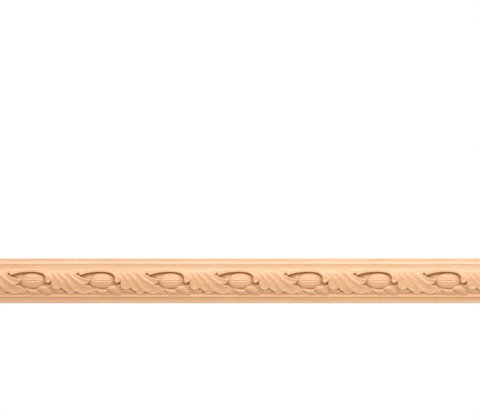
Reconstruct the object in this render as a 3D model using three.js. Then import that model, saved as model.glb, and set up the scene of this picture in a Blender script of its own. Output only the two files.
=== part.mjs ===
// A length of carved hardwood moulding. A leaf curls over a ribbed seed pod, again and again, along a
// domed field between a hollow edge above and a hollow edge with a small bead below.
// The flat back lies in y = 0 and the carving faces -y. x runs along the length, z up across the width,
// and the origin is the middle of the back. All sizes are in millimetres.

import * as THREE from 'three';

// Overall sizes
const length = 536;
const width = 50;
const crownHeight = 10.05;
const repeat = 77.2;

// The plain edges, from the outer edges of the moulding to the carved field
const edgeHeight = 2;
const topHollowWidth = 6.4;
const topHollowRise = 1.9;
const flatBandWidth = 4.3;
const flatBandRise = 0.7;
const scribedLineDepth = 0.38;
const bottomHollowWidth = 6.6;
const bottomHollowRise = 1.6;
const beadWidth = 2.7;
const beadRise = 1.15;

// The carved field: its domed surface, and how far the carving goes below it
const shoulderHeight = 4.65;
const recessDepth = 4.2;
const petalGroundDepth = 2.7;
const groundHeight = 4;
const wallSlope = 3;
const leafRounding = 0.65;
const podInset = 0.2;
const podRise = 5.9;
const podGrooveDepth = 0.6;
const podGrooves = 9;

// How closely the facets follow the carving
const facetTolerance = 0.28;
const latticeStep = 0.6;
const longestBorderFacet = 10;
const curveSteps = 4;

const fieldBottom = -width / 2 + bottomHollowWidth + beadWidth;
const fieldTop = width / 2 - topHollowWidth - flatBandWidth;
const fieldHeight = fieldTop - fieldBottom;
const fieldMiddle = (fieldTop + fieldBottom) / 2;
const beadInnerHeight = edgeHeight + bottomHollowRise + beadRise / 2;

// Curves of the carving, drawn as [hundredths of the repeat, hundredths of the field's height]

// The leaf's edge, from the arch over the pod round the lobes and back to the next arch
const arch = [[15.4, 76], [17.8, 76.2], [21.2, 79.3], [28, 83.9], [36.2, 86.6], [45.3, 87.6], [52.8, 86.6],
  [59, 83.6], [63.2, 78.4], [66.2, 70.2], [67.2, 62], [66.7, 54.3]];
const archLip = [[66.7, 54.3], [67.5, 49], [69.4, 46.3], [72, 49.3], [75.6, 56]];
const firstLobe = [[75.6, 56], [75.5, 38.3], [76, 29], [78, 22.7], [81.1, 20.7], [84.5, 21.7], [87.4, 25.3],
  [89.2, 29]];
const secondLobe = [[89.2, 29], [91, 23.2], [93.3, 18.6], [95.6, 15.6], [97.3, 12.6], [98.1, 6.5],
  [100.8, 2.8], [105.4, 3.7], [107.4, 8.7], [108.6, 14.3]];
const thirdLobe = [[108.6, 14.3], [111.2, 13.5], [114, 10.2], [117, 6.3], [120.4, 3.4], [124.4, 2.9],
  [127.2, 6.3], [129.5, 9], [131.9, 7.3], [133.4, 2.3], [135.5, 3.7], [136.3, 14.3], [134.8, 23]];
const thirdLobeTop = [[134.8, 23], [133.7, 27], [131.1, 32], [128.5, 35.3], [126.2, 36], [123.7, 37.3]];
const stripTip = [[123.7, 37.3], [126.2, 41.7], [127.7, 47.7], [129, 53], [130.3, 55.7]];
const stripTop = [[130.3, 55.7], [126.7, 58.3], [122.7, 60.3], [119.2, 63], [116.6, 65.7], [114.7, 69.3]];
const eye = [[114.7, 69.3], [113.3, 71.3], [111.5, 73.3], [110.6, 77.3], [111.4, 81.5], [113.5, 82.7],
  [115, 81.3], [115.6, 78], [115.4, 76]];

// The sharp ridges between the leaf's flutes, from the top of the field down to the notches
const lipRidge = [[64.4, 94.3], [65.9, 84], [68.4, 77.3], [71.5, 70], [74.4, 63], [75.6, 56]];
const firstRidge = [[70.6, 95], [75.1, 86.3], [78.6, 78], [81.3, 70], [83.9, 61], [86, 53.3], [87.6, 45.3],
  [88.9, 37], [89.2, 29]];
const secondRidge = [[75.5, 96], [80.3, 89.7], [85.1, 83], [89, 75.7], [92.9, 65.7], [96.5, 55.3],
  [99, 46.7], [101.8, 36.3], [105.1, 25.7], [108.6, 14.3]];
const thirdRidge = [[87.4, 95.3], [93.1, 89.7], [99, 82], [103.1, 71.3], [107, 61.3], [111.7, 52],
  [115.4, 45.3], [119.7, 39.7], [123.7, 37.3]];
const stripRidge = [[98.4, 95.3], [103.6, 89], [108.2, 81.7], [111.4, 75.3], [113.2, 71.9], [114.7, 69.3]];
const lipFluteSide = [[64.4, 94.3], [64.6, 84], [66.2, 74], [67.2, 62], [66.7, 54.3]];

// The shallow hollow above the arch lies between the top of the field and the eye and arch below it
const hoodTop = [[102.3, 96.3], [116.6, 96.3], [142.5, 96.3], [164.4, 94.3]];
const hoodStart = [[102.3, 96.3], [108.9, 83.3], [113.5, 82.3], [115.4, 77.3]];
const hoodFoot = [[117.8, 76], [121.2, 79.3], [128, 83.9], [136.2, 86.6], [145.3, 87.6], [152.8, 86.6],
  [159, 83.6], [163.2, 78.4], [164.4, 94.3]];

// A curve's or outline's points along a smooth line, in millimetres from the moulding's left end
function sampled(curve) {
  const points = curve.map(([along, up]) =>
    new THREE.Vector2(along * repeat / 100, fieldBottom + up * fieldHeight / 100));
  return new THREE.SplineCurve(points).getPoints(curveSteps * (points.length - 1));
}

function chain(...curves) {
  return curves.flatMap((curve, place) => sampled(curve).slice(place > 0 ? 1 : 0));
}

const turned = (curve) => [...curve].reverse();

const leafEdge = chain(
  arch, archLip, firstLobe, secondLobe, thirdLobe, thirdLobeTop, stripTip, stripTop, eye,
);
const lobeRim = sampled(thirdLobeTop);

// The rim that stands up along the strip's upper side, one repeat back, and round the eye and the arch, as far
// as the fourth of the arch's points from its end
const raisedRim = [
  ...chain(stripTop, eye).map((point) => new THREE.Vector2(point.x - repeat, point.y)),
  ...chain(arch).slice(0, -4 * curveSteps),
];

// A flute is a scoop between an upper and a lower line
function flute(upper, lower, depth, runsOut) {
  return { upper, lower, outline: [...upper, ...turned(lower), upper[0]], depth, runsOut };
}

const flutes = [
  flute(chain(lipRidge), chain(lipFluteSide, archLip), 1.2, true),
  flute(chain(firstRidge), chain(lipRidge, firstLobe), 1.5, true),
  flute(chain(secondRidge), chain(firstRidge, secondLobe), 1.6, true),
  flute(chain(thirdRidge, turned(thirdLobeTop)), chain(secondRidge, thirdLobe), 1.7, true),
  flute(chain(stripRidge, turned(stripTop)), chain(thirdRidge, stripTip), 1, true),
  flute(chain(hoodTop), chain(hoodStart, hoodFoot), 0.8, false),
];

// The small petals under the pod are pillows: their rim lies some way below the dome and they swell from it
const petals = [
  {
    outline: chain(
      [[35, 22.3], [40.2, 22.7], [44.7, 21.3], [49.2, 20], [52.5, 20.3], [53.6, 21.3]],
      [[53.6, 21.3], [56, 15], [58.9, 9], [62.4, 3], [65.4, -2.7]],
      [[65.4, -2.7], [43.5, -2.7]],
      [[43.5, -2.7], [42.1, 5], [39.6, 13.7], [35, 22.3]],
    ),
    rimDepth: 2.2,
    swell: 2.6,
    round: 5,
  },
  {
    outline: chain(
      [[53.9, 21], [56.5, 28.3], [60.4, 33], [64.8, 33.3], [68.7, 29], [72, 20.3], [74.9, 10.3],
        [77.2, -2.7]],
      [[77.2, -2.7], [66.7, -2.7]],
      [[66.7, -2.7], [61.9, 5], [57.9, 12.7], [53.9, 21]],
    ),
    rimDepth: 2,
    swell: 2.6,
    round: 5.6,
  },
  {
    outline: chain(
      [[66.7, 35], [69.9, 36.3], [74.1, 36], [74.4, 27], [75.9, 19], [77.5, 11.3], [78.1, 5.7],
        [77.7, -2.7]],
      [[77.7, -2.7], [76.4, -2.7]],
      [[76.4, -2.7], [75, 11], [71.8, 22.7], [66.7, 35]],
    ),
    rimDepth: 2.7,
    swell: 0.7,
    round: 2.6,
  },
  {
    outline: chain(
      [[34.5, 21], [37.3, 18.3], [40.2, 10.3], [42.6, -2.7]],
      [[42.6, -2.7], [35.2, -2.7]],
      [[35.2, -2.7], [35.2, 7.3], [34.5, 21]],
    ),
    rimDepth: 2.2,
    swell: 1.5,
    round: 2.6,
  },
  {
    outline: chain(
      [[74.6, 19.7], [77.6, 17.3], [80.2, 18], [82, 24.3], [84.8, 26.7], [87.6, 28.3], [88, 20],
        [86.1, 15.7], [82.3, 13], [78.5, 11.7], [76.1, 14.3], [74.6, 19.7]],
    ),
    rimDepth: 1.7,
    swell: 0.8,
    round: 1.4,
  },
  {
    outline: chain(
      [[79.3, 9.6], [83.5, 12.3], [88.1, 16.3], [90, 17.7], [92.7, 12.3], [90.9, 8.4], [86.8, 7.2],
        [82.3, 7.6], [79.3, 9.6]],
    ),
    rimDepth: 1.9,
    swell: 0.9,
    round: 1,
  },
];

const clamp = THREE.MathUtils.clamp;
const ease = (t) => THREE.MathUtils.smoothstep(t, 0, 1);

// Distance from a point to a line of points
function distanceTo(line, x, z) {
  let nearest = Infinity;
  for (let i = 1; i < line.length; i += 1) {
    const start = line[i - 1];
    const dx = line[i].x - start.x;
    const dz = line[i].y - start.y;
    const span = dx * dx + dz * dz;
    const t = span > 0 ? clamp(((x - start.x) * dx + (z - start.y) * dz) / span, 0, 1) : 0;
    nearest = Math.min(nearest, (x - start.x - t * dx) ** 2 + (z - start.y - t * dz) ** 2);
  }
  return Math.sqrt(nearest);
}

// How many times a line passes over a point
function crossingsAbove(line, x, z) {
  let count = 0;
  for (let i = 1; i < line.length; i += 1) {
    const start = line[i - 1];
    const end = line[i];
    if ((start.x <= x) !== (end.x <= x)) {
      const t = (x - start.x) / (end.x - start.x);
      if (start.y + t * (end.y - start.y) > z) {
        count += 1;
      }
    }
  }
  return count;
}

const isInside = (outline, x, z) => crossingsAbove(outline, x, z) % 2 === 1;

// The dome over the field is an arc through both shoulders and the crown
const domeRise = crownHeight - shoulderHeight;
const domeRadius = ((fieldHeight / 2) ** 2 + domeRise ** 2) / (2 * domeRise);

function domeHeight(z) {
  return crownHeight - domeRadius + Math.sqrt(domeRadius ** 2 - (z - fieldMiddle) ** 2);
}

// Depth of the flute at a point: deepest along its middle, shallower where narrow, fading towards the top
function scoopDepth(x, z, up) {
  const fullWidth = 7;
  for (const { upper, lower, outline, depth, runsOut } of flutes) {
    if (isInside(outline, x, z)) {
      const toUpper = distanceTo(upper, x, z);
      const across = toUpper + distanceTo(lower, x, z);
      const side = Math.abs(2 * toUpper / Math.max(across, 0.001) - 1);
      const fade = runsOut ? ease((95 - up) / 36) : 1;
      return depth * (1 - side ** 2) ** 1.1 * Math.min(across / fullWidth, 1.15) * fade;
    }
  }
  return 0;
}

// The pod is half an ellipsoid with grooves that run from end to end
function podHeight(along, up) {
  const podCentre = [47.1, 51.7];
  const podHalfLength = 19.8;
  const podHalfWidth = 30;
  const lengthwise = (along - podCentre[0]) / podHalfLength;
  const crosswise = (up - podCentre[1]) / podHalfWidth;
  const waist = 1 - Math.abs(lengthwise) ** 2.3;
  const rest = waist - crosswise ** 2;
  if (rest <= 0) {
    return 0;
  }
  const turn = Math.asin(clamp(crosswise / Math.sqrt(waist), -1, 1)) / Math.PI;
  const toGroove = Math.abs(turn * podGrooves - Math.round(turn * podGrooves)) * 2;
  const groove = podGrooveDepth * (1 - toGroove) ** 1.5 * waist;
  return crownHeight - podInset - podRise + podRise * Math.sqrt(rest) - groove;
}

// The sunk ground: under the arch a recess floor with a mound between the strip and the pod and a gap under
// the pod, shallower round the petals, and round the lobes a trough that rises to the bead along its edge
function sunkHeight(z, along, up) {
  const trough = groundHeight + (beadInnerHeight - groundHeight) * ease((3.5 - up) / 3.5);
  const mound = ease(1.4 - 1.4 * Math.hypot((along - 30.5) / 9.5, (up - 57) / 22));
  const gap = 1 - ease(Math.hypot((along - 48.5) / 6, (up - 23.5) / 5));
  const floorDepth = recessDepth - 0.3 * ease((38 - along) / 15) - 1.6 * mound;
  const depth = THREE.MathUtils.lerp(floorDepth, petalGroundDepth, ease((42 - up) / 18)) + 1.5 * gap;
  const share = ease(along - 14) * (1 - ease((along - 75.8) / 2));
  return Math.max(trough, THREE.MathUtils.lerp(trough, domeHeight(z) - depth, share));
}

// Height of the carving over the back, for x from the left end and z from the middle of the width
function carvedHeight(x, z) {
  const start = x - Math.floor(x / repeat) * repeat;
  const along = 100 * start / repeat;
  const up = 100 * (z - fieldBottom) / fieldHeight;
  const dome = domeHeight(z);
  let toEdge = Infinity;
  let toRim = Infinity;
  let crossings = 0;
  let scoop = 0;
  for (const place of [start, start + repeat]) {
    toEdge = Math.min(toEdge, distanceTo(leafEdge, place, z));
    toRim = Math.min(toRim, distanceTo(lobeRim, place, z));
    crossings += crossingsAbove(leafEdge, place, z);
    scoop = Math.max(scoop, scoopDepth(place, z, up));
  }
  const beyond = crossings % 2 === 1 ? toEdge : -toEdge;
  const rounding = wallSlope * clamp(beyond + leafRounding, 0, 2 * leafRounding) ** 2 / (4 * leafRounding);
  const wall = wallSlope * Math.max(beyond - leafRounding, 0);
  const rolledRim = 1.4 * (1 - ease(toRim / 2.5));
  const raised = 0.75 * (1 - ease(distanceTo(raisedRim, start, z) / 2.2)) * ease((up - 30) / 30);
  const heights = [dome - scoop - rolledRim + raised - rounding - wall, sunkHeight(z, along, up)];
  if (beyond > 0) {
    heights.push(podHeight(along, up));
    for (const { outline, rimDepth, swell, round } of petals) {
      const distance = distanceTo(outline, start, z);
      const within = isInside(outline, start, z) ? distance : -distance;
      const roundness = Math.sqrt(1 - (1 - clamp(within / round, 0, 1)) ** 2);
      heights.push(dome - rimDepth + swell * roundness - 2 * Math.max(-within, 0));
    }
  }
  return Math.max(...heights);
}

// The carved field is cut into facets one repeat at a time, over a fine lattice of heights. Starting from
// the border, the lattice point that lies furthest off the facets, measured square to the surface, is taken
// in, again and again, until all lie within the tolerance. Facets are kept as even as they can be: no point
// lies inside the circle through the corners of another facet.
function facetStretch(span) {
  const columns = Math.max(2, Math.round(span / latticeStep));
  const rows = Math.max(2, Math.round(fieldHeight / latticeStep));
  const xAt = (column) => span * column / columns;
  const zAt = (row) => fieldBottom + fieldHeight * row / rows;
  const heights = Array.from({ length: columns + 1 }, (unusedColumn, column) =>
    Array.from({ length: rows + 1 }, (unusedRow, row) => carvedHeight(xAt(column), zAt(row))));

  const points = [];
  const triangles = new Set();
  const triangleBeside = new Map();
  const sidesOf = ([a, b, c]) => [[a, b], [b, c], [c, a]];

  function addPoint(column, row) {
    points.push({ column, row, x: xAt(column), z: zAt(row), height: heights[column][row] });
    return points.length - 1;
  }

  function doubleArea(a, b, c) {
    return (b.x - a.x) * (c.z - a.z) - (c.x - a.x) * (b.z - a.z);
  }

  function steepness(column, row) {
    const alongX = (heights[column + 1][row] - heights[column - 1][row]) / (xAt(2) - xAt(0));
    const alongZ = (heights[column][row + 1] - heights[column][row - 1]) / (zAt(2) - zAt(0));
    return Math.hypot(1, alongX, alongZ);
  }

  function furthestOff(corners) {
    const [a, b, c] = corners.map((corner) => points[corner]);
    const area = doubleArea(a, b, c);
    const furthest = { error: 0, column: 0, row: 0 };
    const firstColumn = Math.max(1, Math.min(a.column, b.column, c.column));
    const lastColumn = Math.min(columns - 1, Math.max(a.column, b.column, c.column));
    const firstRow = Math.max(1, Math.min(a.row, b.row, c.row));
    const lastRow = Math.min(rows - 1, Math.max(a.row, b.row, c.row));
    for (let column = firstColumn; column <= lastColumn; column += 1) {
      for (let row = firstRow; row <= lastRow; row += 1) {
        const point = { x: xAt(column), z: zAt(row) };
        const shareA = doubleArea(point, b, c) / area;
        const shareB = doubleArea(a, point, c) / area;
        const shareC = 1 - shareA - shareB;
        if (Math.min(shareA, shareB, shareC) > -1e-9) {
          const facetHeight = shareA * a.height + shareB * b.height + shareC * c.height;
          const error = Math.abs(heights[column][row] - facetHeight) / steepness(column, row);
          if (error > furthest.error) {
            Object.assign(furthest, { error, column, row });
          }
        }
      }
    }
    return furthest;
  }

  function addTriangle(corners) {
    const triangle = { corners, furthest: furthestOff(corners) };
    triangles.add(triangle);
    sidesOf(corners).forEach(([from, to]) => triangleBeside.set(`${from} ${to}`, triangle));
  }

  function circleHolds(corners, point) {
    const [a, b, c] = corners.map((corner) => {
      const dx = points[corner].x - point.x;
      const dz = points[corner].z - point.z;
      return [dx, dz, dx * dx + dz * dz];
    });
    const determinant = a[0] * (b[1] * c[2] - c[1] * b[2]) - b[0] * (a[1] * c[2] - c[1] * a[2])
      + c[0] * (a[1] * b[2] - b[1] * a[2]);
    return determinant > 1e-9;
  }

  function takeIn(column, row, first) {
    const added = addPoint(column, row);
    const opened = new Set([first]);
    const rim = [];
    for (const triangle of opened) {
      for (const [from, to] of sidesOf(triangle.corners)) {
        const beside = triangleBeside.get(`${to} ${from}`);
        if (beside && !opened.has(beside) && circleHolds(beside.corners, points[added])) {
          opened.add(beside);
        }
      }
    }
    for (const triangle of opened) {
      for (const [from, to] of sidesOf(triangle.corners)) {
        if (!opened.has(triangleBeside.get(`${to} ${from}`))) {
          rim.push([from, to]);
        }
      }
    }
    for (const triangle of opened) {
      triangles.delete(triangle);
      sidesOf(triangle.corners).forEach(([from, to]) => triangleBeside.delete(`${from} ${to}`));
    }
    for (const [from, to] of rim) {
      if (doubleArea(points[from], points[to], points[added]) > 1e-9) {
        addTriangle([from, to, added]);
      }
    }
  }

  // Lattice points kept on a side of the border, halfway or at the worst place, until the rest lie close
  function keptAlong(from, to) {
    const steps = Math.max(Math.abs(to[0] - from[0]), Math.abs(to[1] - from[1]));
    const pointAt = (step) => from.map((value, axis) => value + (to[axis] - value) * step / steps);
    const heightAt = ([column, row]) => heights[column][row];
    let worst = Math.floor(steps / 2);
    let worstError = 0;
    for (let step = 1; step < steps; step += 1) {
      const straight = THREE.MathUtils.lerp(heightAt(from), heightAt(to), step / steps);
      const error = Math.abs(heightAt(pointAt(step)) - straight);
      if (error > Math.max(worstError, facetTolerance)) {
        worstError = error;
        worst = step;
      }
    }
    if (steps < 2 || (worstError === 0 && steps * latticeStep < longestBorderFacet)) {
      return [];
    }
    const middle = pointAt(worst);
    return [...keptAlong(from, middle), middle, ...keptAlong(middle, to)];
  }

  const corners = [[0, 0], [columns, 0], [columns, rows], [0, rows]];
  const [a, b, c, d] = corners.map(([column, row]) => addPoint(column, row));
  addTriangle([a, b, c]);
  addTriangle([a, c, d]);
  corners.forEach((corner, side) => {
    for (const [column, row] of keptAlong(corner, corners[(side + 1) % corners.length])) {
      const point = { x: xAt(column), z: zAt(row) };
      const holder = [...triangles].find((triangle) => sidesOf(triangle.corners).every(([from, to]) =>
        doubleArea(points[from], points[to], point) > -1e-9));
      takeIn(column, row, holder);
    }
  });

  for (;;) {
    let worst = null;
    for (const triangle of triangles) {
      if (triangle.furthest.error > (worst ? worst.furthest.error : facetTolerance)) {
        worst = triangle;
      }
    }
    if (!worst) {
      break;
    }
    takeIn(worst.furthest.column, worst.furthest.row, worst);
  }
  return [...triangles].map((triangle) => triangle.corners.map((corner) => points[corner]));
}

// Vertices and facets of the whole body
const positions = [];
const facets = [];
const fieldVertices = new Map();

function addVertex(x, height, z) {
  positions.push(x - length / 2, -height, z);
  return { x, z, vertex: positions.length / 3 - 1 };
}

function fieldVertex(x, height, z) {
  const place = `${x.toFixed(4)} ${z.toFixed(4)}`;
  if (!fieldVertices.has(place)) {
    fieldVertices.set(place, addVertex(x, height, z));
  }
  return fieldVertices.get(place);
}

const wholeRepeats = Math.floor(length / repeat + 1e-6);
const lastSpan = length - wholeRepeats * repeat;
const wholeStretch = wholeRepeats > 0 ? facetStretch(repeat) : [];
const lastStretch = lastSpan > latticeStep / 100 ? facetStretch(lastSpan) : [];
const stretches = [...Array(wholeRepeats).fill(wholeStretch), lastStretch];
stretches.forEach((stretch, count) => {
  for (const corners of stretch) {
    facets.push(corners.map(({ x, height, z }) => fieldVertex(count * repeat + x, height, z).vertex));
  }
});

// Lines that run straight along the length, as [distance from the moulding's edge, height]
const hollowSteps = 5;
const beadSteps = 4;

function hollowLines(hollowWidth, hollowRise) {
  return Array.from({ length: hollowSteps + 1 }, (unused, step) => {
    const t = step / hollowSteps;
    return [hollowWidth * t, edgeHeight + hollowRise * t ** 2];
  });
}

const lineHeight = edgeHeight + topHollowRise;
const topLines = [
  [0, 0],
  ...hollowLines(topHollowWidth, topHollowRise),
  [topHollowWidth + 0.27 * flatBandWidth, lineHeight],
  [topHollowWidth + 0.43 * flatBandWidth, lineHeight - scribedLineDepth],
  [topHollowWidth + 0.61 * flatBandWidth, lineHeight + flatBandRise],
  [topHollowWidth + 0.98 * flatBandWidth, lineHeight + flatBandRise],
];
const beadFoot = edgeHeight + bottomHollowRise;
const beadLines = Array.from({ length: beadSteps - 1 }, (unused, step) => {
  const t = (step + 1) / beadSteps;
  return [bottomHollowWidth + beadWidth * t, beadFoot + beadRise * Math.sin(Math.PI * t ** 0.8)];
});
const bottomLines = [[0, 0], ...hollowLines(bottomHollowWidth, bottomHollowRise), ...beadLines];

const lineEnds = [...Array(wholeRepeats + 1).keys()].map((count) => count * repeat);
if (lastStretch.length > 0) {
  lineEnds.push(length);
}

const straightLine = (height, z) => lineEnds.map((x) => addVertex(x, height, z));
const fieldPoints = [...fieldVertices.values()];
const isNear = (value, goal) => Math.abs(value - goal) < 1e-3;
const fieldBorder = (z) =>
  fieldPoints.filter((point) => isNear(point.z, z)).sort((one, two) => one.x - two.x);

// Facets between two lines that run the same way, where each line has points of its own
function joinLines(lower, upper) {
  let i = 0;
  let j = 0;
  while (i < lower.length - 1 || j < upper.length - 1) {
    const lowerNext = i < lower.length - 1 ? lower[i + 1].x : Infinity;
    const upperNext = j < upper.length - 1 ? upper[j + 1].x : Infinity;
    if (lowerNext <= upperNext) {
      facets.push([lower[i].vertex, lower[i + 1].vertex, upper[j].vertex]);
      i += 1;
    } else {
      facets.push([lower[i].vertex, upper[j + 1].vertex, upper[j].vertex]);
      j += 1;
    }
  }
}

const below = bottomLines.map(([inward, height]) => straightLine(height, -width / 2 + inward));
const above = topLines.map(([inward, height]) => straightLine(height, width / 2 - inward)).reverse();
for (const group of [[...below, fieldBorder(fieldBottom)], [fieldBorder(fieldTop), ...above]]) {
  for (let line = 1; line < group.length; line += 1) {
    joinLines(group[line - 1], group[line]);
  }
}

// Each end is a flat face between the section and a row of points along the back's edge
function addEnd(x, facesRight) {
  const inField = fieldPoints.filter((point) => isNear(point.x, x)).sort((one, two) => one.z - two.z);
  const onLine = (line) => (facesRight ? line[line.length - 1] : line[0]);
  const section = [...below.map(onLine), ...inField, ...above.map(onLine)];
  const backEdge = section.map((point, place) => {
    const onCorner = place === 0 || place === section.length - 1;
    return onCorner ? point : addVertex(x, 0, point.z);
  });
  for (let place = 1; place < section.length; place += 1) {
    const corners = [[backEdge[place - 1], section[place], section[place - 1]],
      [backEdge[place - 1], backEdge[place], section[place]]];
    for (const corner of corners.map((points) => points.map(({ vertex }) => vertex))) {
      if (new Set(corner).size === 3) {
        facets.push(facesRight ? corner : corner.reverse());
      }
    }
  }
  return backEdge;
}

const leftBackEdge = addEnd(0, false);
const rightBackEdge = addEnd(length, true);

// The back is a fan of facets round its middle
const backOutline = [
  ...below[0],
  ...rightBackEdge.slice(1, -1),
  ...turned(above[above.length - 1]),
  ...turned(leftBackEdge.slice(1, -1)),
].map(({ vertex }) => vertex);
const backMiddle = addVertex(length / 2, 0, 0).vertex;
backOutline.forEach((vertex, place) => {
  facets.push([vertex, backMiddle, backOutline[(place + 1) % backOutline.length]]);
});

const geometry = new THREE.BufferGeometry();
geometry.setAttribute('position', new THREE.Float32BufferAttribute(positions, 3));
geometry.setIndex(facets.flat());
geometry.computeVertexNormals();

const wood = new THREE.MeshStandardMaterial({ color: 0xdba676, roughness: 0.55, metalness: 0 });
const moulding = new THREE.Mesh(geometry, wood);
moulding.name = 'carved_moulding';

const part = new THREE.Group();
part.add(moulding);

export default part;
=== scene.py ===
import math

import bpy
import numpy as np
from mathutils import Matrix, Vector


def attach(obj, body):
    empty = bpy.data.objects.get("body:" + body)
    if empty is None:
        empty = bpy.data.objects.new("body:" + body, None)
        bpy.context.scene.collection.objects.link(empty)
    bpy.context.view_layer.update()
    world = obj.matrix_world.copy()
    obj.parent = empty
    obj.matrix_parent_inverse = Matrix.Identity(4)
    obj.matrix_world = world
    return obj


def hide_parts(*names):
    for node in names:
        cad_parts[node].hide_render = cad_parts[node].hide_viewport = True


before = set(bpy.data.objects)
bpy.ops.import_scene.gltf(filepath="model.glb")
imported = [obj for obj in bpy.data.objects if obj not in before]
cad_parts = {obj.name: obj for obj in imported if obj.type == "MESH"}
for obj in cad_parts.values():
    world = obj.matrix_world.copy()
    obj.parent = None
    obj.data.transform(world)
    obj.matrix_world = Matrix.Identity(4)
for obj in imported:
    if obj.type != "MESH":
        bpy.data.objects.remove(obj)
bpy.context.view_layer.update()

# The moulding's long lines. It is one length of solid beech with a flat back, which is glued or pinned to a
# furniture front. A profile cutter runs the wide hollow and the scribed flat band along the top, the narrower
# hollow and the small bead along the bottom, and between them the dome that the ornament is carved from.
MM = 0.001
length = 536.0
width = 50.0
crown_height = 10.05
repeat = 77.2

edge_height = 2.0
top_hollow_width = 6.4
top_hollow_rise = 1.9
flat_band_width = 4.3
flat_band_rise = 0.7
scribed_line_depth = 0.38
bottom_hollow_width = 6.6
bottom_hollow_rise = 1.6
bead_width = 2.7
bead_rise = 1.15
bead_lean = 0.8
shoulder_height = 4.65

# Shares of the flat band's width: where the scribed line's middle is, half its width, and the band's arris
scribed_line_middle = 0.43
scribed_line_half_width = 0.16
band_arris = 0.2

field_bottom = -width / 2 + bottom_hollow_width + bead_width
field_top = width / 2 - top_hollow_width - flat_band_width
field_height = field_top - field_bottom
field_middle = (field_top + field_bottom) / 2
bead_inner_height = edge_height + bottom_hollow_rise + bead_rise / 2
dome_rise = crown_height - shoulder_height
dome_radius = ((field_height / 2) ** 2 + dome_rise ** 2) / (2 * dome_rise)


def ease(t):
    """A smooth step: 0 up to t = 0, 1 from t = 1, and three times t squared less twice t cubed between."""
    t = np.clip(t, 0, 1)
    return t * t * (3 - 2 * t)


def dome_height(z):
    """An arc of a circle through both shoulders and the crown: over the circle's centre, the root of its
    radius squared less the square of the way from the field's middle."""
    return crown_height - dome_radius + np.sqrt(dome_radius ** 2 - (z - field_middle) ** 2)


def top_edge_height(inward):
    """The hollow rises with the square of the distance from the edge. A narrow v, the scribed line, parts it
    from the flat band, which has a rounded upper arris and ends against the dome's shoulder."""
    hollow = edge_height + top_hollow_rise * np.clip(inward / top_hollow_width, 0, 1) ** 2
    line_middle = top_hollow_width + scribed_line_middle * flat_band_width
    v = np.clip(1 - np.abs(inward - line_middle) / (scribed_line_half_width * flat_band_width), 0, 1)
    band = flat_band_rise * ease((inward - line_middle) / (band_arris * flat_band_width))
    return hollow + band - scribed_line_depth * v


def bottom_edge_height(inward):
    """The hollow rises with the square of the distance from the edge. The bead on it is half a sine wave that
    leans outwards, and in its last third it is held up to the height at which the field begins."""
    hollow = edge_height + bottom_hollow_rise * np.clip(inward / bottom_hollow_width, 0, 1) ** 2
    along_bead = np.clip((inward - bottom_hollow_width) / bead_width, 0, 1)
    bead = bead_rise * np.sin(math.pi * along_bead ** bead_lean)
    to_field = (bead_inner_height - edge_height - bottom_hollow_rise) * ease(3 * along_bead - 2)
    return hollow + np.maximum(bead, to_field)


# The carved leaves and pods. A leaf rises from the band, curls over a ribbed seed pod as an arch with a
# raised rim, and ends in lobes with hollowed flutes, and small petals fill the space under the pod. All of it
# is carved into the dome of the same wood, down to a sunk ground, and it comes again every 77 mm.
wall_slope = 3.0
leaf_rounding = 0.65
rolled_rim_depth = 1.4
rolled_rim_width = 2.5
lifted_rim_rise = 0.7
lifted_rim_width = 1.9
full_flute_width = 7
petal_wall_slope = 2
pod_inset = 0.2
pod_rise = 5.9
pod_groove_depth = 0.6
pod_grooves = 9

# The sunk ground, in millimetres below the dome, and last the trough round the lobes, over the back
recess_depth = 4.2
arch_start_rise = 0.3
mound_rise = 1.6
gap_depth = 1.5
petal_ground_depth = 2.7
ground_height = 4.0

# Places in the pattern, each in hundredths of the repeat along it or of the field's height up it
pod_middle = (47.1, 51.7)
pod_reach = (19.8, 30)
mound_middle = (30.5, 57)
mound_reach = (9.5, 22)
gap_middle = (48.5, 23.5)
gap_reach = (6, 5)
recess_start = 14
recess_end = 75.8
recess_end_blend = 2
arch_start_end = 38
arch_start_length = 15
petal_ground_top = 42
petal_ground_blend = 18
trough_rise_top = 3.5
lifted_rim_foot = 30
lifted_rim_blend = 30
flute_top = 95
flute_fade = 36

# Plain numbers of the formulas below: powers, a wide flute's share of its depth, and the mound's steepness
flute_fullness = 1.1
pod_fullness = 2.3
groove_sharpness = 1.5
deepest_flute = 1.15
mound_steepness = 1.4

# Curves of the carving, as [hundredths of the repeat, hundredths of the field's height]
arch = [[15.4, 76], [17.8, 76.2], [21.2, 79.3], [28, 83.9], [36.2, 86.6], [45.3, 87.6], [52.8, 86.6],
        [59, 83.6], [63.2, 78.4], [66.2, 70.2], [67.2, 62], [66.7, 54.3]]
arch_lip = [[66.7, 54.3], [67.5, 49], [69.4, 46.3], [72, 49.3], [75.6, 56]]
first_lobe = [[75.6, 56], [75.5, 38.3], [76, 29], [78, 22.7], [81.1, 20.7], [84.5, 21.7], [87.4, 25.3],
              [89.2, 29]]
second_lobe = [[89.2, 29], [91, 23.2], [93.3, 18.6], [95.6, 15.6], [97.3, 12.6], [98.1, 6.5], [100.8, 2.8],
               [105.4, 3.7], [107.4, 8.7], [108.6, 14.3]]
third_lobe = [[108.6, 14.3], [111.2, 13.5], [114, 10.2], [117, 6.3], [120.4, 3.4], [124.4, 2.9],
              [127.2, 6.3], [129.5, 9], [131.9, 7.3], [133.4, 2.3], [135.5, 3.7], [136.3, 14.3],
              [134.8, 23]]
third_lobe_top = [[134.8, 23], [133.7, 27], [131.1, 32], [128.5, 35.3], [126.2, 36], [123.7, 37.3]]
strip_tip = [[123.7, 37.3], [126.2, 41.7], [127.7, 47.7], [129, 53], [130.3, 55.7]]
strip_top = [[130.3, 55.7], [126.7, 58.3], [122.7, 60.3], [119.2, 63], [116.6, 65.7], [114.7, 69.3]]
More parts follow.
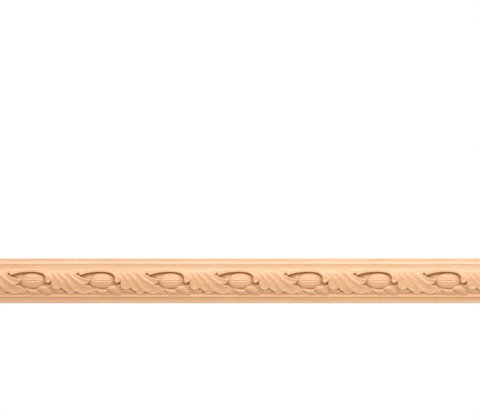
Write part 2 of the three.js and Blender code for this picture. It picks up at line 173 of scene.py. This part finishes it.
eye = [[114.7, 69.3], [113.3, 71.3], [111.5, 73.3], [110.6, 77.3], [111.4, 81.5], [113.5, 82.7], [115, 81.3],
       [115.6, 78], [115.4, 76]]
lip_ridge = [[64.4, 94.3], [65.9, 84], [68.4, 77.3], [71.5, 70], [74.4, 63], [75.6, 56]]
first_ridge = [[70.6, 95], [75.1, 86.3], [78.6, 78], [81.3, 70], [83.9, 61], [86, 53.3], [87.6, 45.3],
               [88.9, 37], [89.2, 29]]
second_ridge = [[75.5, 96], [80.3, 89.7], [85.1, 83], [89, 75.7], [92.9, 65.7], [96.5, 55.3], [99, 46.7],
                [101.8, 36.3], [105.1, 25.7], [108.6, 14.3]]
third_ridge = [[87.4, 95.3], [93.1, 89.7], [99, 82], [103.1, 71.3], [107, 61.3], [111.7, 52], [115.4, 45.3],
               [119.7, 39.7], [123.7, 37.3]]
strip_ridge = [[98.4, 95.3], [103.6, 89], [108.2, 81.7], [111.4, 75.3], [113.2, 71.9], [114.7, 69.3]]
lip_flute_side = [[64.4, 94.3], [64.6, 84], [66.2, 74], [67.2, 62], [66.7, 54.3]]
hood_top = [[102.3, 96.3], [116.6, 96.3], [142.5, 96.3], [164.4, 94.3]]
hood_start = [[102.3, 96.3], [108.9, 83.3], [113.5, 82.3], [115.4, 77.3]]
hood_foot = [[117.8, 76], [121.2, 79.3], [128, 83.9], [136.2, 86.6], [145.3, 87.6], [152.8, 86.6],
             [159, 83.6], [163.2, 78.4], [164.4, 94.3]]
curve_steps = 6


def chain(*curves):
    """Points along the curves one after another, in millimetres. Each curve is a chain of cubics: between two
    of its points the direction at each is half the step from the point before to the point after."""
    lines = []
    for curve in curves:
        p = np.array(curve, float) * [repeat / 100, field_height / 100] + [0, field_bottom]
        before = np.vstack([p[:1], p[:-1]])[:-1]
        after = np.vstack([p[1:], p[-1:]])[1:]
        start, end = p[:-1], p[1:]
        t = np.linspace(0, 1, curve_steps + 1)[:, None, None]
        out, into = (end - before) / 2, (after - start) / 2
        bends = (2 * start - 2 * end + out + into) * t ** 3 + (3 * end - 3 * start - 2 * out - into) * t ** 2
        points = (bends + out * t + start).transpose(1, 0, 2)
        lines.append(np.vstack([points[:, :-1].reshape(-1, 2), p[-1:]]))
    return np.vstack([line[min(place, 1):] for place, line in enumerate(lines)])


def distance_to(line, x, z):
    """The shortest way from each point to a line: the foot on each of its segments is held to the segment."""
    nearest = np.full(x.shape, np.inf)
    for (ax, az), (bx, bz) in zip(line[:-1], line[1:]):
        dx, dz = bx - ax, bz - az
        span = dx * dx + dz * dz
        if span > 0:
            t = np.clip(((x - ax) * dx + (z - az) * dz) / span, 0, 1)
            np.minimum(nearest, (x - ax - t * dx) ** 2 + (z - az - t * dz) ** 2, out=nearest)
    return np.sqrt(nearest)


def is_under(line, x, z):
    """Whether a line passes over each point an odd number of times, which inside a closed line it does."""
    odd = np.zeros(x.shape, bool)
    for (ax, az), (bx, bz) in zip(line[:-1], line[1:]):
        if ax != bx:
            odd ^= ((ax <= x) != (bx <= x)) & (az + (x - ax) * (bz - az) / (bx - ax) > z)
    return odd


def way_out(along, up, middle, reach):
    """How far each point is from a middle: the root of the squares of both ways, as shares of the reach."""
    return np.hypot((along - middle[0]) / reach[0], (up - middle[1]) / reach[1])


leaf_edge = chain(arch, arch_lip, first_lobe, second_lobe, third_lobe, third_lobe_top, strip_tip, strip_top,
                  eye)
lobe_rim = chain(third_lobe_top)

# The raised rim runs round the eye and the arch, as far as the fourth of the arch's points from its end
raised_rim = np.vstack([chain(strip_top, eye) - [repeat, 0], chain(arch)[:-4 * curve_steps]])

# Each flute is a scoop between an upper and a lower line: upper line, lower line, depth, and whether it fades
# out towards the band
flutes = [
    (chain(lip_ridge), chain(lip_flute_side, arch_lip), 1.2, True),
    (chain(first_ridge), chain(lip_ridge, first_lobe), 1.5, True),
    (chain(second_ridge), chain(first_ridge, second_lobe), 1.6, True),
    (chain(third_ridge, third_lobe_top[::-1]), chain(second_ridge, third_lobe), 1.7, True),
    (chain(strip_ridge, strip_top[::-1]), chain(third_ridge, strip_tip), 1.0, True),
    (chain(hood_top), chain(hood_start, hood_foot), 0.8, False),
]

# Each petal is a pillow: its outline, how far its rim lies below the dome, its swell, its rounding's width
petals = [
    (chain([[35, 22.3], [40.2, 22.7], [44.7, 21.3], [49.2, 20], [52.5, 20.3], [53.6, 21.3]],
           [[53.6, 21.3], [56, 15], [58.9, 9], [62.4, 3], [65.4, -2.7]], [[65.4, -2.7], [43.5, -2.7]],
           [[43.5, -2.7], [42.1, 5], [39.6, 13.7], [35, 22.3]]), 2.2, 2.6, 5.0),
    (chain([[53.9, 21], [56.5, 28.3], [60.4, 33], [64.8, 33.3], [68.7, 29], [72, 20.3], [74.9, 10.3],
            [77.2, -2.7]], [[77.2, -2.7], [66.7, -2.7]],
           [[66.7, -2.7], [61.9, 5], [57.9, 12.7], [53.9, 21]]), 2.0, 2.6, 5.6),
    (chain([[66.7, 35], [69.9, 36.3], [74.1, 36], [74.4, 27], [75.9, 19], [77.5, 11.3], [78.1, 5.7],
            [77.7, -2.7]], [[77.7, -2.7], [76.4, -2.7]],
           [[76.4, -2.7], [75, 11], [71.8, 22.7], [66.7, 35]]), 2.7, 0.7, 2.6),
    (chain([[34.5, 21], [37.3, 18.3], [40.2, 10.3], [42.6, -2.7]], [[42.6, -2.7], [35.2, -2.7]],
           [[35.2, -2.7], [35.2, 7.3], [34.5, 21]]), 2.2, 1.5, 2.6),
    (chain([[74.6, 19.7], [77.6, 17.3], [80.2, 18], [82, 24.3], [84.8, 26.7], [87.6, 28.3], [88, 20],
            [86.1, 15.7], [82.3, 13], [78.5, 11.7], [76.1, 14.3], [74.6, 19.7]]), 1.7, 0.8, 1.4),
    (chain([[79.3, 9.6], [83.5, 12.3], [88.1, 16.3], [90, 17.7], [92.7, 12.3], [90.9, 8.4], [86.8, 7.2],
            [82.3, 7.6], [79.3, 9.6]]), 1.9, 0.9, 1.0),
]


def scoop_depth(x, z, up):
    """Depth of the flutes. With the share of the way from a flute's middle to its line, the depth falls as
    one less the share squared, to a power a little over one. A narrow flute is shallower by its width over
    the full width, and all but the hood fade out above."""
    depth_here = np.zeros(x.shape)
    for upper, lower, depth, fades_out in flutes:
        inside = is_under(np.vstack([upper, lower[::-1], upper[:1]]), x, z)
        to_upper = distance_to(upper, x[inside], z[inside])
        across = to_upper + distance_to(lower, x[inside], z[inside])
        side = np.abs(2 * to_upper / np.maximum(across, 0.001) - 1)
        by_width = np.minimum(across / full_flute_width, deepest_flute)
        fade = ease((flute_top - up[inside]) / flute_fade) if fades_out else 1
        depth_here[inside] = depth * (1 - side ** 2) ** flute_fullness * by_width * fade
    return depth_here


def pod_height(along, up):
    """Half an ellipsoid with blunt ends: the root of one less a power of the share of the way to an end,
    less the square of the share of the way to a side. Its grooves run from end to end like meridians: each
    is where the angle about the long axis, in parts of a half turn, comes to a whole number of spacings."""
    lengthwise = (along - pod_middle[0]) / pod_reach[0]
    crosswise = (up - pod_middle[1]) / pod_reach[1]
    to_end = 1 - np.abs(lengthwise) ** pod_fullness
    rest = to_end - crosswise ** 2
    waist = np.sqrt(np.clip(to_end, 1e-6, None))
    turn = np.arcsin(np.clip(crosswise / waist, -1, 1)) / math.pi * pod_grooves
    to_groove = np.abs(turn - np.round(turn)) * 2
    groove = pod_groove_depth * (1 - to_groove) ** groove_sharpness * np.clip(1 - lengthwise ** 2, 0, 1)
    height = crown_height - pod_inset - pod_rise + pod_rise * np.sqrt(np.clip(rest, 0, 1)) - groove
    return np.where(rest > 0, height, 0)


def sunk_height(z, along, up):
    """The ground between the forms: a floor a set depth under the dome below the arch, a little higher where
    the arch starts, with a mound between the strip and the pod and a gap between the pod and the petals, and
    round the lobes a trough up to the bead. Each part is weighed in by a smooth step."""
    to_bead = ease((trough_rise_top - up) / trough_rise_top)
    trough = ground_height + (bead_inner_height - ground_height) * to_bead
    mound = ease(mound_steepness - mound_steepness * way_out(along, up, mound_middle, mound_reach))
    gap = 1 - ease(way_out(along, up, gap_middle, gap_reach))
    low = ease((petal_ground_top - up) / petal_ground_blend)
    arch_start = ease((arch_start_end - along) / arch_start_length)
    floor_depth = recess_depth - arch_start_rise * arch_start - mound_rise * mound
    depth = floor_depth * (1 - low) + petal_ground_depth * low + gap_depth * gap
    share = ease(along - recess_start) * (1 - ease((along - recess_end) / recess_end_blend))
    return np.maximum(trough, trough + (dome_height(z) - depth - trough) * share)


def carved_height(x, z):
    """The highest of all the forms at each point: the leaf, the sunk ground, the pod and the petals. The leaf
    is the dome less its flutes and its rolled rim and plus its raised rim, with walls that fall away evenly
    past its edge. A petal swells from its rim as a quarter of a circle. With the height comes the way out
    past the leaf's edge, below nothing on the leaf itself."""
    start = x % repeat
    along = 100 * start / repeat
    up = 100 * (z - field_bottom) / field_height
    dome = dome_height(z)
    to_edge = np.minimum(distance_to(leaf_edge, start, z), distance_to(leaf_edge, start + repeat, z))
    to_lobe_rim = np.minimum(distance_to(lobe_rim, start, z), distance_to(lobe_rim, start + repeat, z))
    outside = is_under(leaf_edge, start, z) ^ is_under(leaf_edge, start + repeat, z)
    scoop = np.maximum(scoop_depth(start, z, up), scoop_depth(start + repeat, z, up))
    beyond = np.where(outside, to_edge, -to_edge)
    rounding = wall_slope * np.clip(beyond + leaf_rounding, 0, 2 * leaf_rounding) ** 2 / (4 * leaf_rounding)
    wall = wall_slope * np.maximum(beyond - leaf_rounding, 0)
    rolled_rim = rolled_rim_depth * (1 - ease(to_lobe_rim / rolled_rim_width))
    by_raised_rim = 1 - ease(distance_to(raised_rim, start, z) / lifted_rim_width)
    lifted_rim = lifted_rim_rise * by_raised_rim * ease((up - lifted_rim_foot) / lifted_rim_blend)
    leaf = dome - scoop - rolled_rim + lifted_rim - rounding - wall
    height = np.maximum(leaf, sunk_height(z, along, up))
    within_space = np.maximum(height, pod_height(along, up))
    for outline, rim_depth, swell, roundness in petals:
        to_outline = distance_to(outline, start, z)
        within = np.where(is_under(outline, start, z), to_outline, -to_outline)
        rounded = np.sqrt(1 - (1 - np.clip(within / roundness, 0, 1)) ** 2)
        petal = dome - rim_depth + swell * rounded - petal_wall_slope * np.maximum(-within, 0)
        within_space = np.maximum(within_space, petal)
    return np.where(beyond > 0, within_space, height), beyond


# The body is one closed surface: columns along the length, and round the section the rows of the front, then
# the two corners of the flat back. The ends are flat, and all edges of the front are eased by a quarter of a
# millimetre.
column_step = 0.56
field_row_step = 0.43
end_easing = 0.25
first_column = 0.08
edge_easing = 0.25
first_row = 0.3
hollow_points = 6
bead_points = 9
band_points = 11
columns = np.concatenate([
    [0, first_column],
    np.linspace(end_easing, length - end_easing, round(length / column_step)),
    [length - first_column, length],
])
bottom_rows = np.concatenate([
    [0, first_row],
    np.linspace(first_row, bottom_hollow_width, hollow_points)[1:],
    bottom_hollow_width + np.linspace(0, bead_width, bead_points)[1:-1],
])
top_rows = np.concatenate([
    [0, first_row],
    np.linspace(first_row, top_hollow_width, hollow_points)[1:],
    top_hollow_width + np.linspace(0, flat_band_width, band_points)[1:-1],
])
field_rows = np.linspace(field_bottom, field_top, round(field_height / field_row_step) + 1)
x, z = np.meshgrid(columns, field_rows, indexing="ij")
field_heights, past_edge = carved_height(x, z)
heights = np.hstack([
    np.broadcast_to(bottom_edge_height(bottom_rows), (len(columns), len(bottom_rows))),
    field_heights,
    np.broadcast_to(top_edge_height(top_rows)[::-1], (len(columns), len(top_rows))),
])
rows = np.concatenate([-width / 2 + bottom_rows, field_rows, width / 2 - top_rows[::-1]])
rows = np.concatenate([rows[:1], rows, rows[-1:]])
heights = np.hstack([np.zeros((len(columns), 1)), heights, np.zeros((len(columns), 1))])
heights[:, [1, -2]] -= edge_easing
to_end = np.minimum(columns, length - columns)
eased = end_easing - np.sqrt(np.clip(end_easing ** 2 - np.clip(end_easing - to_end, 0, None) ** 2, 0, None))
heights[:, 1:-1] -= eased[:, None]

points = np.empty((len(columns), len(rows), 3))
points[..., 0] = (columns - length / 2)[:, None]
points[..., 1] = -heights
points[..., 2] = rows[None, :]
around = len(rows)
place = np.arange(points[..., 0].size).reshape(len(columns), around)
following = np.roll(place, -1, axis=1)
quads = np.stack([place[:-1], place[1:], following[1:], following[:-1]], axis=-1).reshape(-1, 4)
ends = [place[0].tolist(), place[-1][::-1].tolist()]

mesh = bpy.data.meshes.new("carved_beech_moulding")
mesh.from_pydata((points.reshape(-1, 3) * MM).tolist(), [], quads.tolist() + ends)

# Of the strips round the section, the first and the last but one are the long sides, and the last is the
# back. They and the ends are shaded flat, and the front is smooth.
flat_strips = np.zeros((len(columns) - 1, around), bool)
flat_strips[:, [0, around - 2, around - 1]] = True
mesh.polygons.foreach_set("use_smooth", ~np.concatenate([flat_strips.ravel(), [True, True]]))

# Limits in millimetres for the painted shade and highlight: how far below the dome the painted shade starts
# and how much further it takes, how far a wall's shade reaches, where the painted shade starts before the
# leaf's edge, and over which reach and by how much a place has to stand out to get the painted highlight,
# which also stands for wear
unshaded_depth = 1.2
darkening_depth = 2.6
wall_shade_reach = 4
open_ground_share = 0.5
dark_before_edge = 0.8
dark_edge_blend = 0.9
highlight_reach = 1.1
highlight_start = 0.2
highlight_blend = 0.7


def raised_above(heights, rows, reach):
    """How far each point stands above the mean of four others, a set reach away along and across."""
    steps = round(reach / column_step)
    sideways = (np.roll(heights, steps, axis=0) + np.roll(heights, -steps, axis=0)) / 2
    across = np.zeros(heights.shape)
    for way in (-reach, reach):
        after = np.clip(np.searchsorted(rows, rows + way), 1, len(rows) - 1)
        row_gap = np.maximum(rows[after] - rows[after - 1], 0.001)
        share = np.clip((rows + way - rows[after - 1]) / row_gap, 0, 1)
        across += (heights[:, after - 1] * (1 - share) + heights[:, after] * share) / 2
    return heights - (sideways + across) / 2


# Three shares per point: painted shade on sunk places, painted highlight and wear on raised places, and the
# cut ends
first_field_row = 1 + len(bottom_rows)
# Painted shade: the colour darkens in sunk places, most near the walls, where shade falls
shade_by_depth = ease((dome_height(z) - field_heights - unshaded_depth) / darkening_depth)
near_wall = 1 - ease(np.abs(past_edge) / wall_shade_reach)
by_wall = open_ground_share + (1 - open_ground_share) * near_wall
off_leaf = ease((past_edge + dark_before_edge) / dark_edge_blend)
sunk_shade = np.zeros((len(columns), around))
sunk_shade[:, first_field_row:first_field_row + len(field_rows)] = shade_by_depth * by_wall * off_leaf
# Painted highlight, which also stands for wear: places that stand above their neighbours are painted paler
wear_and_highlight = np.zeros((len(columns), around))
wear_and_highlight[:, 1:-1] = ease((raised_above(heights[:, 1:-1], rows[1:-1], highlight_reach) - highlight_start) / highlight_blend)

# The columns on the eased edges of the ends get the painted highlight and wear of the ones beside them, and
# the cut ends have neither painted shade nor highlight
wear_and_highlight[:2] = wear_and_highlight[2]
wear_and_highlight[-2:] = wear_and_highlight[-3]
sunk_shade[[0, -1]] = 0
wear_and_highlight[[0, -1]] = 0
cut_end = np.zeros((len(columns), around))
cut_end[[0, -1]] = 1
for name, share in (("sunk_shade", sunk_shade), ("wear_and_highlight", wear_and_highlight), ("cut_end", cut_end)):
    mesh.attributes.new(name, "FLOAT", "POINT").data.foreach_set("value", share.ravel())
moulding = bpy.data.objects.new("carved_beech_moulding", mesh)
bpy.context.scene.collection.objects.link(moulding)

# The beech is steamed, carved and sanded. Its grain runs along the length: growth rings lie round a pith
# some way behind the back, with soft streaks, fine fibres and the short dark flecks of its rays. Sharp rims
# get a paler painted highlight, which also stands for wear, sunk places get a darker painted shade and are
# duller, the lower edge gets a painted pale bounce light, and the cut ends are browner.
from_pith_to_middle = (0, -0.06, 0.035)
rings_drawn_out = (0.06, 1, 1)
pore_depth = 0.00006
pale_ring = (0.822, 0.505, 0.28, 1)
dark_ring = (0.737, 0.43, 0.216, 1)
upper_edge_wood = (0.61, 0.465, 0.287, 1)
bead_wood = (0.86, 0.425, 0.155, 1)
# The pale wood of the painted bounce light along the lower edge
painted_bounce_light_wood = (0.7, 0.545, 0.42, 1)
streak_tint = (0.92, 0.87, 0.81, 1)
line_tint = (0.93, 0.87, 0.81, 1)
pale_patch_tint = (1.05, 1.1, 1.15, 1)
left_end_tint = (0.88, 0.81, 0.76, 1)
fibre_brown = (0.62, 0.3, 0.13, 1)
fleck_brown = (0.42, 0.18, 0.07, 1)
# The pale wood of the painted highlight and wear on raised rims
highlight_and_wear_wood = (0.9, 0.64, 0.4, 1)
# The brown of the painted shade in sunk places
painted_shade_brown = (0.33, 0.13, 0.027, 1)
cut_end_brown = (0.55, 0.3, 0.14, 1)
beech = bpy.data.materials.new("beech")
beech.use_nodes = True


def node(kind, inputs, **settings):
    """A new node of the beech with its settings, each input set to a value or linked to a node's output."""
    made = beech.node_tree.nodes.new("ShaderNode" + kind)
    for name, value in settings.items():
        setattr(made, name, value)
    for name, value in inputs.items():
        if isinstance(value, bpy.types.NodeSocket):
            beech.node_tree.links.new(value, made.inputs[name])
        else:
            made.inputs[name].default_value = value
    return made


def grain(along, across, detail):
    """Noise drawn out along the length, with sizes in millimetres."""
    stretched = node("VectorMath", {0: place_on_wood, 1: (1000 / along, 1000 / across, 1000 / across)},
                     operation="MULTIPLY")
    noise = node("TexNoise", {"Vector": stretched.outputs[0], "Scale": 1.0, "Detail": detail,
                              "Roughness": 0.72})
    return noise.outputs["Fac"]


def ranged(value, low, high, new_low=0.0, new_high=1.0):
    """A value carried from one range to another and held within it."""
    return node("MapRange", {"Value": value, "From Min": low, "From Max": high, "To Min": new_low,
                             "To Max": new_high}).outputs["Result"]


def mixed(share, first, second, blend="MIX"):
    """A colour carried by a share towards another, or towards its product with the other."""
    mix = node("Mix", {"Factor": share, "A": first, "B": second}, data_type="RGBA", blend_type=blend)
    return mix.outputs["Result"]


def share_of(name):
    """One of the mesh's three shares per point, by its name."""
    return node("Attribute", {}, attribute_name=name).outputs["Fac"]


place_on_wood = node("TexCoord", {}).outputs["Object"]
from_pith = node("VectorMath", {0: place_on_wood, 1: from_pith_to_middle}, operation="ADD")
drawn_out = node("VectorMath", {0: from_pith.outputs[0], 1: rings_drawn_out}, operation="MULTIPLY")
rings = node("TexWave", {"Vector": drawn_out.outputs[0], "Scale": 120.0, "Distortion": 5.0, "Detail": 3.0,
                         "Detail Scale": 0.5}, wave_type="RINGS", rings_direction="X", wave_profile="SAW")
streaks = grain(90, 3.4, 3)
lines = grain(50, 0.9, 2)
patches = grain(30, 14, 2)
fibres = grain(9, 0.22, 3)
flecks = ranged(grain(2.6, 0.34, 1), 0.6, 0.68)

# Shares of the places where the colour changes, with their reach in metres: it is darker and redder towards
# the left end, less red towards the upper edge, paler and less red towards the lower edge as a painted pale
# bounce light, and more orange along the bead
position = node("SeparateXYZ", {0: place_on_wood})
to_left_end = ranged(position.outputs["X"], -0.27, 0.1, 1.0, 0.0)
to_upper_edge = ranged(position.outputs["Z"], 0.008, 0.024, 0, 0.6)
lower_edge_bounce = ranged(position.outputs["Z"], -0.0205, -0.0235, 0, 0.75)
beside_bead = ranged(position.outputs["Z"], -0.0135, -0.0165, 0, 0.45)
wood = mixed(rings.outputs["Fac"], pale_ring, dark_ring)
wood = mixed(to_upper_edge, wood, upper_edge_wood)
wood = mixed(beside_bead, wood, bead_wood)
# Painted pale bounce light along the lower edge
wood = mixed(lower_edge_bounce, wood, painted_bounce_light_wood)
wood = mixed(ranged(streaks, 0.35, 0.65), wood, streak_tint, "MULTIPLY")
wood = mixed(ranged(lines, 0.4, 0.7), wood, line_tint, "MULTIPLY")
wood = mixed(ranged(patches, 0.4, 0.75), wood, pale_patch_tint, "MULTIPLY")
wood = mixed(to_left_end, wood, left_end_tint, "MULTIPLY")
wood = mixed(ranged(fibres, 0.3, 0.75, 0, 0.7), wood, fibre_brown)
wood = mixed(ranged(flecks, 0, 1, 0, 0.6), wood, fleck_brown)
# Painted highlight and wear on raised places
wood = mixed(ranged(share_of("wear_and_highlight"), 0, 1, 0, 0.4), wood, highlight_and_wear_wood)
# Painted shade in the sunk places
wood = mixed(share_of("sunk_shade"), wood, painted_shade_brown)
wood = mixed(ranged(share_of("cut_end"), 0.5, 1, 0, 0.7), wood, cut_end_brown)

dull = node("Math", {0: ranged(fibres, 0.3, 0.7, 0.36, 0.46), 1: ranged(share_of("sunk_shade"), 0, 1, 0, 0.3)},
            operation="ADD")
relief = node("Math", {0: fibres, 1: ranged(flecks, 0, 1, 0, -0.4)}, operation="ADD")
tool_marks = node("Math", {0: grain(3, 1.3, 1), 1: relief.outputs[0]}, operation="ADD")
bump = node("Bump", {"Strength": 0.8, "Distance": pore_depth, "Height": tool_marks.outputs[0]})
shader = beech.node_tree.nodes["Principled BSDF"]
beech.node_tree.links.new(wood, shader.inputs["Base Color"])
beech.node_tree.links.new(dull.outputs[0], shader.inputs["Roughness"])
beech.node_tree.links.new(bump.outputs["Normal"], shader.inputs["Normal"])
shader.inputs["Specular IOR Level"].default_value = 0.85
mesh.materials.append(beech)

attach(moulding, "root")
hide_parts("carved_moulding")

# The studio has a pale floor below the moulding and a white backdrop. The light is an even white fill from
# all round and one large soft box, above and in front. The camera looks square at the face from far away, and
# stands higher than the moulding, which therefore lies low in the picture.
floor_reach = 1.5
floor_level = -0.4
floor_corners = [(x_side * floor_reach, y_side * floor_reach, floor_level)
                 for x_side, y_side in ((-1, -1), (1, -1), (1, 1), (-1, 1))]
floor_mesh = bpy.data.meshes.new("floor")
floor_mesh.from_pydata(floor_corners, [], [(0, 1, 2, 3)])
floor = bpy.data.objects.new("floor", floor_mesh)
bpy.context.scene.collection.objects.link(floor)
pale = bpy.data.materials.new("pale_floor")
pale.use_nodes = True
pale_shader = pale.node_tree.nodes["Principled BSDF"]
pale_shader.inputs["Base Color"].default_value = (0.8, 0.8, 0.8, 1)
pale_shader.inputs["Roughness"].default_value = 0.9
floor_mesh.materials.append(pale)

world = bpy.data.worlds.new("studio")
bpy.context.scene.world = world
world.use_nodes = True
sky, sky_links = world.node_tree.nodes, world.node_tree.links
sky.clear()
backdrop = sky.new("ShaderNodeBackground")
backdrop.inputs["Color"].default_value = (1, 1, 1, 1)
backdrop.inputs["Strength"].default_value = 1.0
fill = sky.new("ShaderNodeBackground")
fill.inputs["Color"].default_value = (1, 1, 1, 1)
fill.inputs["Strength"].default_value = 0.6
seen = sky.new("ShaderNodeMixShader")
sky_links.new(sky.new("ShaderNodeLightPath").outputs["Is Camera Ray"], seen.inputs["Fac"])
sky_links.new(fill.outputs[0], seen.inputs[1])
sky_links.new(backdrop.outputs[0], seen.inputs[2])
sky_links.new(seen.outputs[0], sky.new("ShaderNodeOutputWorld").inputs["Surface"])

softbox = bpy.data.lights.new("softbox", "AREA")
softbox.shape = "RECTANGLE"
softbox.size = 2.6
softbox.size_y = 1.6
softbox.energy = 60
softbox_object = bpy.data.objects.new("softbox", softbox)
bpy.context.scene.collection.objects.link(softbox_object)
softbox_direction = Vector((0, -0.67, 0.742))
softbox_distance = 2.4
softbox_object.location = softbox_direction * softbox_distance
softbox_object.rotation_euler = softbox_direction.to_track_quat("Z", "Y").to_euler()

view_width = 0.5357
camera_distance = 6.0
camera_height = 0.0807
camera = bpy.data.cameras.new("camera")
camera.sensor_width = 36
camera.lens = camera.sensor_width * camera_distance / view_width
camera.clip_end = 100
camera_object = bpy.data.objects.new("camera", camera)
camera_object.location = (0, -camera_distance, camera_height)
camera_object.rotation_euler = (math.pi / 2, 0, 0)
bpy.context.scene.collection.objects.link(camera_object)
bpy.context.scene.camera = camera_object
bpy.context.scene.view_settings.view_transform = "Standard"
